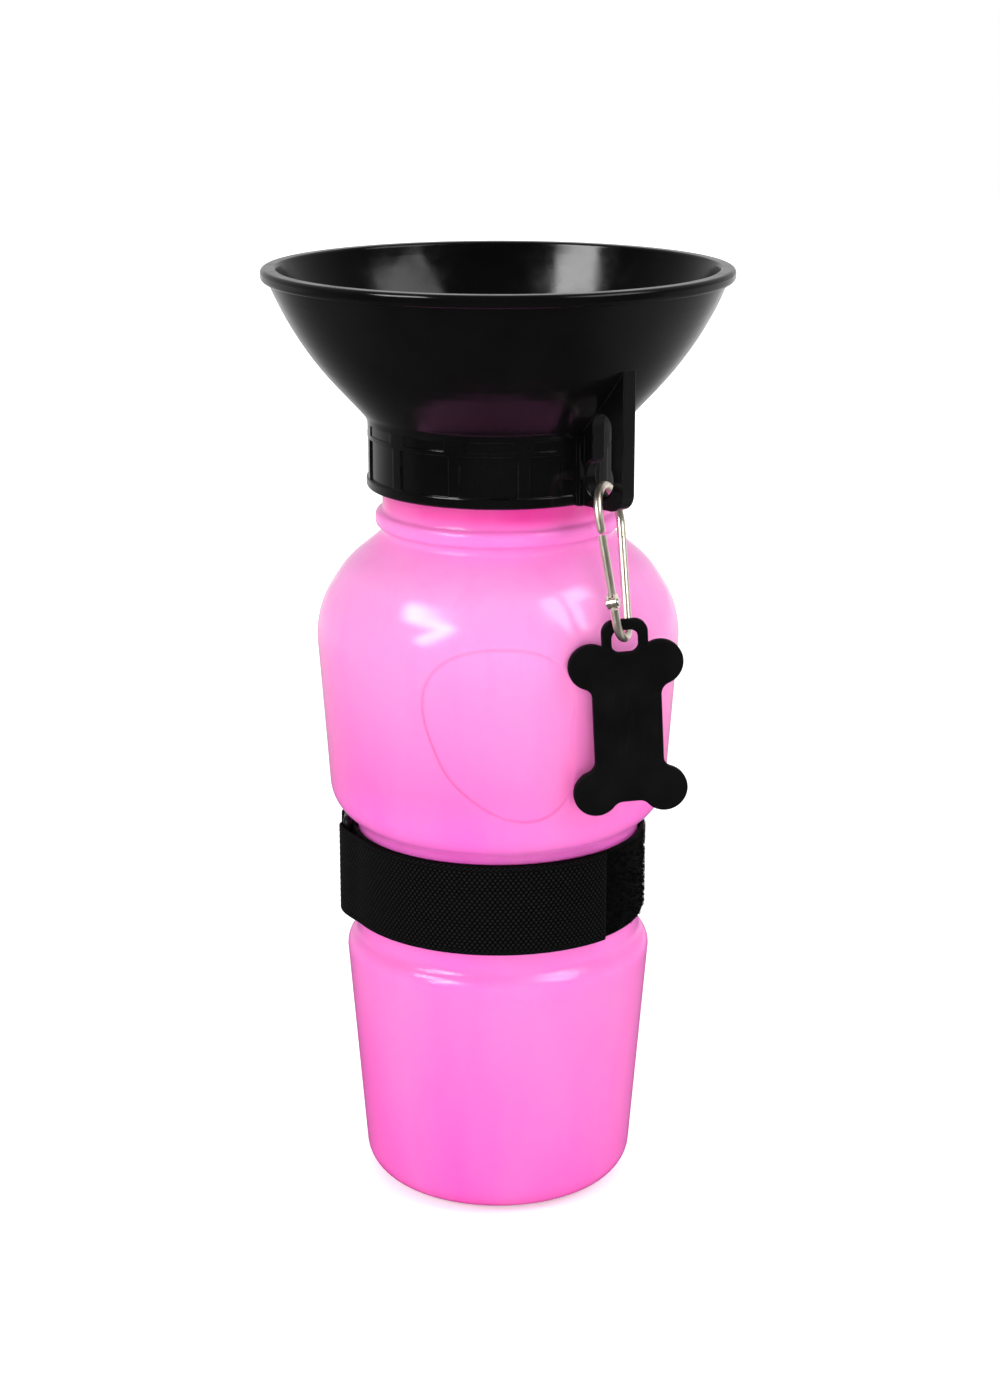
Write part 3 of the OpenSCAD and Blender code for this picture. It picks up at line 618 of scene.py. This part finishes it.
def strap_ring():
    """The moulded ring: two round bars joined by flatter ends, with rounded corners."""
    half_y = BAR_TRACK * math.sin(math.radians(BAR_SPAN))
    x = -BAR_TRACK * math.cos(math.radians(BAR_SPAN))
    low, high = RING_Z + RING_THIN, RING_Z + RING_H - RING_THIN
    bend = RING_BEND
    path = []
    for cy, cz, a0 in ((half_y - bend, low + bend, -90), (half_y - bend, high - bend, 0),
                       (-half_y + bend, high - bend, 90), (-half_y + bend, low + bend, 180)):
        for k in range(9):
            a = a0 + 90 * k / 8
            p = polar(bend, a)
            path.append((cy + p.x, cz + p.y, a))
    stops = []
    for i, here in enumerate(path):
        there = path[(i + 1) % len(path)]
        stops.append(here)
        gap = math.hypot(there[0] - here[0], there[1] - here[1])
        if gap > 2:
            extra = 10 if gap > 12 else 5
            stops += [(here[0] + (there[0] - here[0]) * k / extra, here[1] + (there[1] - here[1]) * k / extra, here[2])
                      for k in range(1, extra)]
    verts, faces = [], []
    sides = 20
    for y, z, a in stops:
        side = abs(math.cos(math.radians(a)))
        deep = RING_DEEP + (BAR_R - RING_DEEP) * side
        thick = RING_THIN + (BAR_R - RING_THIN) * side
        away = polar(1, a)
        for k in range(sides):
            b = 2 * math.pi * k / sides
            verts.append((x + deep * math.sin(b), y + away.x * thick * math.cos(b), z + away.y * thick * math.cos(b)))
    n = len(stops)
    for i in range(n):
        for k in range(sides):
            a, b = i * sides + k, i * sides + (k + 1) % sides
            c, d = (i + 1) % n * sides + k, (i + 1) % n * sides + (k + 1) % sides
            faces.append((a, b, d, c))
    piece = new_piece("strap_ring_moulded", verts, faces, ring_black, "strap")
    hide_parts("strap_ring")


strap_ring()


# ---- Bone tag: its outline lies in x and y, and its loop hangs on the wire at the origin ----

TAG_HANG = (32.376, -46.182, 167.477)
TAG_FACE_ANGLE = -83
TAG_TILT = 3
TAG_T = 2.4
TAG_BACK = 0.6
TAG_EDGE = 0.55     # radius of the rounded edges
BONE_HALF_W, BONE_HALF_H = 9, 17
BONE_MID, BONE_END = -24.2, 19.8
LOBE_R, BONE_FILLET = 6, 3
LOOP_HALF_W, LOOP_TOP, LOOP_R = 6, 4.8, 3.4
LOOP_HOLE = (3.5, -3.9, 2.1, 2.2)   # half width, bottom, top and corner radius


def arc(centre, r, start, end, step):
    count = max(2, math.ceil(abs(end - start) / step))
    return [Vector(centre) + polar(r, start + (end - start) * i / count) for i in range(count + 1)]


def bone_outline():
    """The right half runs from the notch at the bottom up to the top of the loop. The left half mirrors it."""
    lobe = Vector((BONE_HALF_W, BONE_HALF_H))
    reach = LOBE_R + BONE_FILLET
    side_dy = math.sqrt(reach ** 2 - BONE_FILLET ** 2)
    end_dy = BONE_END - BONE_HALF_H + BONE_FILLET
    end_dx = math.sqrt(reach ** 2 - end_dy ** 2)
    side_mid = lobe + Vector((BONE_FILLET, -side_dy))
    end_mid = lobe + Vector((-end_dx, end_dy))
    side_a = math.degrees(math.atan2(-side_dy, BONE_FILLET))
    end_a = math.degrees(math.atan2(end_dy, -end_dx))
    loop_a = math.degrees(math.acos((LOOP_HALF_W - BONE_HALF_W) / LOBE_R))
    side = arc(side_mid, BONE_FILLET, 180, 180 + side_a, 8)
    low = side + arc(lobe, LOBE_R, side_a, end_a, 5)[1:] + arc(end_mid, BONE_FILLET, end_a - 180, -90, 8)[1:]
    low = [Vector((p.x, -p.y)) for p in reversed(low)]
    high = side + arc(lobe, LOBE_R, side_a, loop_a, 5)[1:]
    loop_mid = (LOOP_HALF_W - LOOP_R, LOOP_TOP - LOOP_R - BONE_MID)
    half = low + high + arc(loop_mid, LOOP_R, 0, 90, 8)
    return [p + Vector((0, BONE_MID)) for p in half + [Vector((-p.x, p.y)) for p in reversed(half)]]


def rounded_box(half_w, low, high, r):
    """Runs clockwise, because it bounds a hole."""
    corners = (
        (half_w - r, low + r, -90), (half_w - r, high - r, 0), (r - half_w, high - r, 90), (r - half_w, low + r, 180))
    return [p for x, y, a in corners for p in arc((x, y), r, a, a + 90, 10)][::-1]


def inset(outline, amount):
    """The closed outline moved to its left, which is inwards on a part and outwards on its hole."""
    moved = []
    for i, p in enumerate(outline):
        before = (p - outline[i - 1]).normalized()
        after = (outline[(i + 1) % len(outline)] - p).normalized()
        left = Vector((-before.y - after.y, before.x + after.x)).normalized()
        moved.append(p + left * amount / max(0.5, left.dot(Vector((-before.y, before.x)))))
    return moved


def without_repeats(outline):
    return [p for i, p in enumerate(outline) if (p - outline[i - 1]).length > 1e-4]


def bone_tag():
    outlines = [without_repeats(bone_outline()), without_repeats(rounded_box(*LOOP_HOLE))]
    place = (
        Matrix.Translation(TAG_HANG) @ Matrix.Rotation(math.radians(TAG_FACE_ANGLE + 90), 4, "Z")
        @ Matrix.Rotation(math.radians(-TAG_TILT), 4, "Y") @ Matrix.Translation((0, TAG_BACK, 0))
        @ Matrix.Rotation(math.radians(90), 4, "X"))
    steps = 6
    levels = []
    for side in (-1, 1):
        rim = []
        for k in range(steps + 1):
            a = math.pi / 2 * k / steps
            rim.append((TAG_EDGE * (1 - math.cos(a)), side * (TAG_T / 2 - TAG_EDGE + TAG_EDGE * math.sin(a))))
        levels += rim[::-1] if side < 0 else rim
    verts, faces, ends = [], [], []
    for outline in outlines:
        rings = []
        for away, z in levels:
            rings.append(range(len(verts), len(verts) + len(outline)))
            verts += [tuple(place @ Vector((p.x, p.y, z))) for p in inset(outline, away)]
        for low, high in zip(rings, rings[1:]):
            for i in range(len(outline)):
                j = (i + 1) % len(outline)
                faces.append((low[i], low[j], high[j], high[i]))
        ends.append((rings[0], rings[-1]))
    rounded = len(faces)
    flat = [[Vector((*p, 0)) for p in inset(outline, TAG_EDGE)] for outline in outlines]
    points = [p for outline in flat for p in outline]
    for tri in geometry.tessellate_polygon(flat):
        for level, flip in ((0, True), (1, False)):
            keys = [i for pair in ends for i in pair[level]]
            corners = [keys[i] for i in tri]
            a, b, c = (points[i] for i in tri)
            if ((b - a).cross(c - a).z > 0) == flip:
                corners.reverse()
            faces.append(tuple(corners))
    piece = new_piece("bone_tag_soft", verts, faces, tag_black, "tag")
    for polygon in piece.data.polygons[rounded:]:
        polygon.use_smooth = False
    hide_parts("bone_tag")


bone_tag()


# ---- Stage, lights and camera, in metres ----

FLOOR_HALF = 3.0
FLOOR_LIFT = 0.4


def floor():
    mesh = bpy.data.meshes.new("floor")
    half = FLOOR_HALF
    corners = [(-half, -half, 0), (half, -half, 0), (half, half, 0), (-half, half, 0)]
    mesh.from_pydata(corners, [], [(0, 1, 2, 3)])
    piece = bpy.data.objects.new("floor", mesh)
    scene.collection.objects.link(piece)
    f = Finish("floor_white", Roughness=0.7, Specular_IOR_Level=0.1)
    pale = f.blend(f.noise(f.object_point(), 3, 2), (0.88, 0.88, 0.88), (0.90, 0.90, 0.90))
    path = f.add("LightPath").outputs
    # In gloss the table is white behind the object, darker in front of it and half lit at its sides, as the room is
    place = f.add("SeparateXYZ", Vector=f.object_point()).outputs
    sides = f.math("ADD", f.span(place["X"], -0.1, -0.4, 0, 0.17, smooth=True),
                   f.span(place["X"], 0.1, 0.4, 0, 0.42, smooth=True))
    aside = f.math("MULTIPLY", sides, f.span(place["Y"], -0.4, -0.1, smooth=True))
    front = f.math("MULTIPLY", path["Is Glossy Ray"], f.span(place["Y"], 0.8, 0.1, 0.45, 1, smooth=True))
    front = f.math("MULTIPLY", front, f.span(aside, 0, 1, 1, 0))
    f.set(Base_Color=f.blend(front, pale, (0.10, 0.10, 0.10)))
    # A little of its own light, seen by the camera and in gloss, lifts the pale floor to the white of the backdrop
    seen = f.math("MAXIMUM", f.math("MAXIMUM", path["Is Camera Ray"], path["Is Glossy Ray"]),
                  path["Is Transmission Ray"])
    away = f.add("VectorMath", {"operation": "LENGTH"}, Vector=f.object_point(scale=(1, 1, 0))).outputs["Value"]
    own = f.span(away, 0.45, 1.4, FLOOR_LIFT, 0.8, smooth=True)
    lift = f.math("MULTIPLY", f.math("MULTIPLY", seen, f.span(front, 0, 1, 1, 0)), own)
    f.set(Emission_Color=(1, 1, 1, 1), Emission_Strength=lift)
    mesh.materials.append(f.material)


floor()


LAMP_AIM = Vector((0, 0, 0.15))


def softbox(name, azimuth, elevation, size, power, distance=1.3, roll=0):
    """A square lamp seen from the object at azimuth degrees right of the front, elevation degrees up."""
    data = bpy.data.lights.new(name, "AREA")
    data.shape = "RECTANGLE"
    data.size, data.size_y = size
    data.energy = power
    lamp = bpy.data.objects.new(name, data)
    scene.collection.objects.link(lamp)
    a, e = math.radians(azimuth), math.radians(elevation)
    way = Vector((math.sin(a) * math.cos(e), -math.cos(a) * math.cos(e), math.sin(e)))
    lamp.location = LAMP_AIM + way * distance
    turn = way.to_track_quat("Z", "Y").to_matrix() @ Matrix.Rotation(math.radians(roll), 3, "Z")
    lamp.rotation_euler = turn.to_euler()
    return lamp


def lit_group(name, pieces, state):
    """The pieces that a lamp lights, or where state is EXCLUDE, those that it doesn't."""
    group = bpy.data.collections.new(name)
    for piece in pieces:
        group.objects.link(nodes[piece])
    for member in group.collection_objects:
        member.light_linking.link_state = state
    return group


def shine(lamp, group):
    """Makes a lamp that only the gloss of a group of pieces shows."""
    lamp.visible_diffuse = False
    lamp.light_linking.receiver_collection = group


def soft(lamp):
    """Makes a lamp that has no reflection of its own."""
    lamp.visible_glossy = False


soft(softbox("key_left", -53, 31, (0.62, 0.52), 5.0))
soft(softbox("fill_right", 66, 44, (0.62, 0.55), 5.0))
# The fill from the front reaches under the overhangs
soft(softbox("fill_front", 3, 5, (1.6, 0.6), 9.6, distance=1.4))
soft(softbox("top_soft", 0, 88, (1.2, 1.2), 3.6, distance=1.5))
# Each highlight is bent: a bar along the top of the lamp and another down its front edge
on_bottle = lit_group("on_bottle", ["bottle"], "INCLUDE")
shine(softbox("gloss_left_top", -54, 40.5, (0.78, 0.15), 13.5), on_bottle)
shine(softbox("gloss_left_side", -45, 27.0, (0.17, 0.50), 8.8, roll=-38), on_bottle)
shine(softbox("gloss_right_top", 66, 52, (0.75, 0.28), 8.8), on_bottle)
shine(softbox("gloss_right_side", 58, 38, (0.32, 0.36), 5.4), on_bottle)
# The bowl is hollow, so the lamp on the left shines in its right half
on_cap = lit_group("on_cap", ["bowl_cap"], "INCLUDE")
shine(softbox("cap_left", -53, 42, (0.46, 0.46), 29.0, roll=28), on_cap)
shine(softbox("cap_right", 66, 47, (0.70, 0.50), 11.0), on_cap)
on_fittings = lit_group("on_fittings", ["bottle", "bowl_cap"], "EXCLUDE")
shine(softbox("fittings_left", -48, 30, (0.8, 0.7), 12.0), on_fittings)
shine(softbox("fittings_right", 62, 45, (0.6, 0.5), 6.0), on_fittings)


def studio_world():
    world = bpy.data.worlds.new("studio")
    scene.world = world
    world.use_nodes = True
    tree = world.node_tree
    tree.nodes.clear()
    add = tree.nodes.new
    out = add("ShaderNodeOutputWorld")
    background = add("ShaderNodeBackground")
    background.inputs["Color"].default_value = (1, 1, 1, 1)
    path = add("ShaderNodeLightPath")
    coords = add("ShaderNodeTexCoord")
    split = add("ShaderNodeSeparateXYZ")
    tree.links.new(coords.outputs["Generated"], split.inputs[0])

    def by_way(axis, first, last, low, high):
        """A strength that depends on how far a direction points along an axis."""
        node = add("ShaderNodeMapRange")
        node.interpolation_type = "SMOOTHSTEP"
        for key, value in (("From Min", first), ("From Max", last), ("To Min", low), ("To Max", high)):
            node.inputs[key].default_value = value
        tree.links.new(split.outputs[axis], node.inputs["Value"])
        return node.outputs[0]

    def pick(test, yes, no):
        node = add("ShaderNodeMix")
        tree.links.new(test, node.inputs[0])
        for key, value in ((2, no), (3, yes)):
            if isinstance(value, bpy.types.NodeSocket):
                tree.links.new(value, node.inputs[key])
            else:
                node.inputs[key].default_value = value
        return node.outputs[0]

    # The white backdrop stands behind the object and shines through it; the room in front of it is darker
    glossy = add("ShaderNodeMath")
    glossy.operation = "MULTIPLY"
    tree.links.new(by_way("Y", -0.4, 0.75, 0.1, 0.75), glossy.inputs[0])
    tree.links.new(by_way("Z", 0.12, 0.3, 1.0, 0.8), glossy.inputs[1])
    strength = pick(path.outputs["Is Glossy Ray"], glossy.outputs[0], by_way("Y", -0.2, 0.6, 0.45, 1.25))
    strength = pick(path.outputs["Is Transmission Ray"], 1.0, strength)
    strength = pick(path.outputs["Is Camera Ray"], 1.0, strength)
    tree.links.new(strength, background.inputs["Strength"])
    tree.links.new(background.outputs[0], out.inputs[0])


studio_world()

CAMERA_AT = (0, -0.690, 0.3365)
CAMERA_DOWN = 16.0      # degrees below the horizontal

camera_data = bpy.data.cameras.new("camera")
camera_data.sensor_fit = "VERTICAL"
camera_data.sensor_height = 36
camera_data.lens = 67.37
camera_data.shift_x = 0.0014
camera = bpy.data.objects.new("camera", camera_data)
camera.location = CAMERA_AT
camera.rotation_euler = (math.radians(90 - CAMERA_DOWN), 0, 0)
scene.collection.objects.link(camera)
scene.camera = camera

scene.view_settings.view_transform = "Standard"
